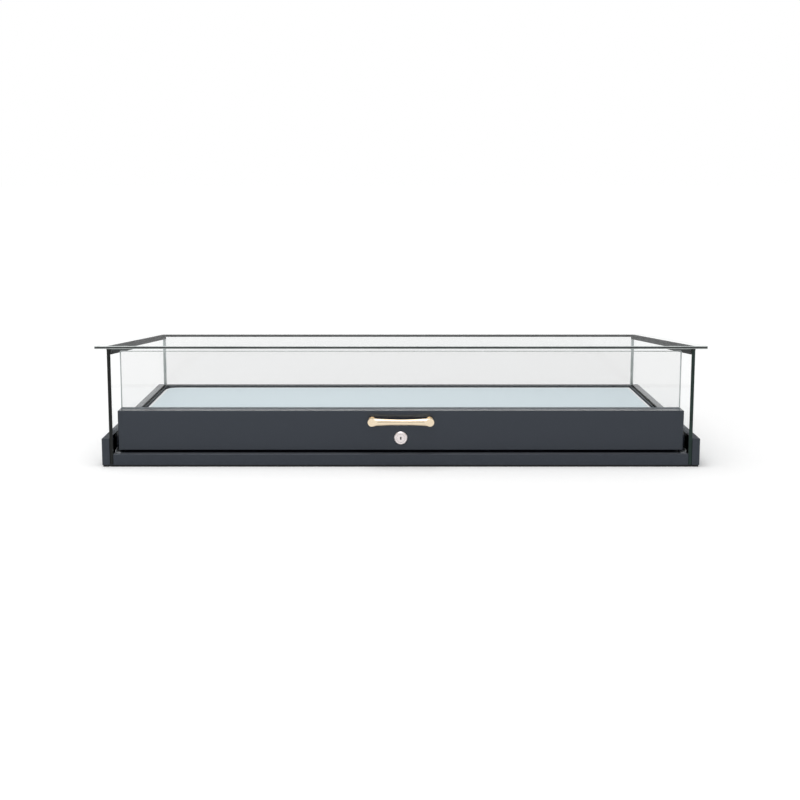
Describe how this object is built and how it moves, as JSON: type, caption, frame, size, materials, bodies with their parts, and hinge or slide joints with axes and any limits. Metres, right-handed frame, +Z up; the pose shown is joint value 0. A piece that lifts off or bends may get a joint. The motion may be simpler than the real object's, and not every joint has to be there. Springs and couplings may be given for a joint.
{
  "type": "countertop display case",
  "caption": "Low countertop glass display case with a sloping top and a lockable display drawer that slides out with its glazed front and covered deck.",
  "frame": {"origin": "on the counter, under the middle of the base", "axes": "+X to the right seen from the drawer side, -Y the way the drawer opens, +Z up"},
  "size_m": [1.015, 0.5682, 0.2039],
  "materials": {
    "slate_paint": "satin powder coat, slate grey",
    "clear_glass": "clear float glass with polished edges",
    "black_rubber": "matte",
    "glazing_rubber": "matte, dark grey",
    "zinc_steel": "bright zinc plate",
    "deck_fabric": "pale ice-blue covering, matte",
    "deck_core": "bare fibreboard",
    "champagne_metal": "brushed pale champagne gold",
    "nickel": "satin nickel plate"
  },
  "bodies": {
    "base": {"side_rail_left": "slate_paint", "side_rail_right": "slate_paint", "back_rail": "slate_paint", "front_rail": "slate_paint", "base_panel": "slate_paint", "rubber_strip_left": "black_rubber", "rubber_strip_right": "black_rubber", "rubber_strip_front": "black_rubber", "rubber_strip_back": "black_rubber", "slide_support_left": "slate_paint", "slide_support_right": "slate_paint", "back_glass_angle": "slate_paint", "side_glass_left": "clear_glass", "side_glass_right": "clear_glass", "back_glass": "clear_glass", "top_glass": "clear_glass", "joint_seal_left": "black_rubber", "joint_seal_right": "black_rubber", "joint_seal_back": "black_rubber", "slide_outer_left": "zinc_steel", "slide_outer_right": "zinc_steel"},
    "drawer": {"drawer_front": "slate_paint", "drawer_back_plate": "slate_paint", "glazing_channel": "glazing_rubber", "front_glass": "clear_glass", "drawer_tray": "slate_paint", "deck_board": "deck_core", "deck_cover": "deck_fabric", "slide_inner_left": "zinc_steel", "slide_inner_right": "zinc_steel", "handle": "champagne_metal", "lock_housing": "nickel", "lock_nut": "zinc_steel"},
    "ball_cages": {"ball_cage_left": "zinc_steel", "ball_cage_right": "zinc_steel"},
    "lock": {"lock_plug": "nickel", "lock_cam": "zinc_steel", "cam_screw": "zinc_steel"}
  },
  "joints": [
    {"name": "drawer_slide", "type": "slide", "parent": "base", "child": "drawer", "axis": [0, -1, 0], "range_m": [0, 0.33]},
    {"name": "cage_slide", "type": "slide", "parent": "base", "child": "ball_cages", "axis": [0, -1, 0], "range_m": [0, 0.165]},
    {"name": "lock_turn", "type": "hinge", "parent": "drawer", "child": "lock", "pos_m": [0, -0.26, 0.0458], "axis": [0, 1, 0], "range_deg": [0, 90]}
  ],
  "couplings": [
    {"joint": "cage_slide", "follows": "drawer_slide", "ratio": 0.5}
  ]
}
